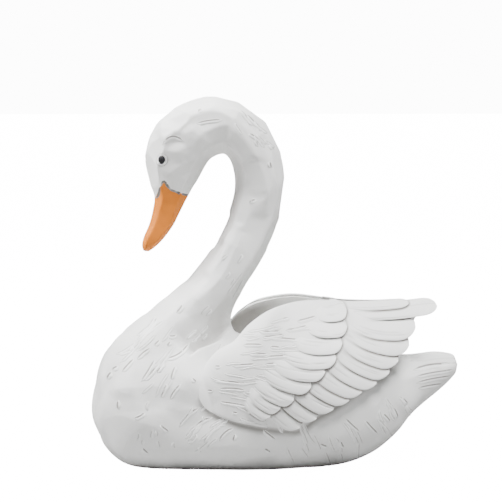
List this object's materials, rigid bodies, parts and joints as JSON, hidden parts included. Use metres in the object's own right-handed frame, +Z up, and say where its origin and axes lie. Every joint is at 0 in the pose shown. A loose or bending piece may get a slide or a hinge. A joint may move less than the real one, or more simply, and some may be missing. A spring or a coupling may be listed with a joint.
{
  "type": "swan statue",
  "caption": "Cast and painted tabletop statue of a sitting swan: bowed head on an S-curved neck, folded wings of carved feathers, short fanned tail and a flat underside.",
  "frame": {"origin": "on the floor under the middle of the swan's length, in its plane of symmetry", "axes": "+Z up, -X the way the swan faces, +Y to the swan's right side"},
  "size_m": [0.1809, 0.0958, 0.1792],
  "materials": {
    "white_paint": "matt white paint on cast resin"
  },
  "bodies": {
    "root": {"swan": "white_paint"}
  },
  "joints": []
}
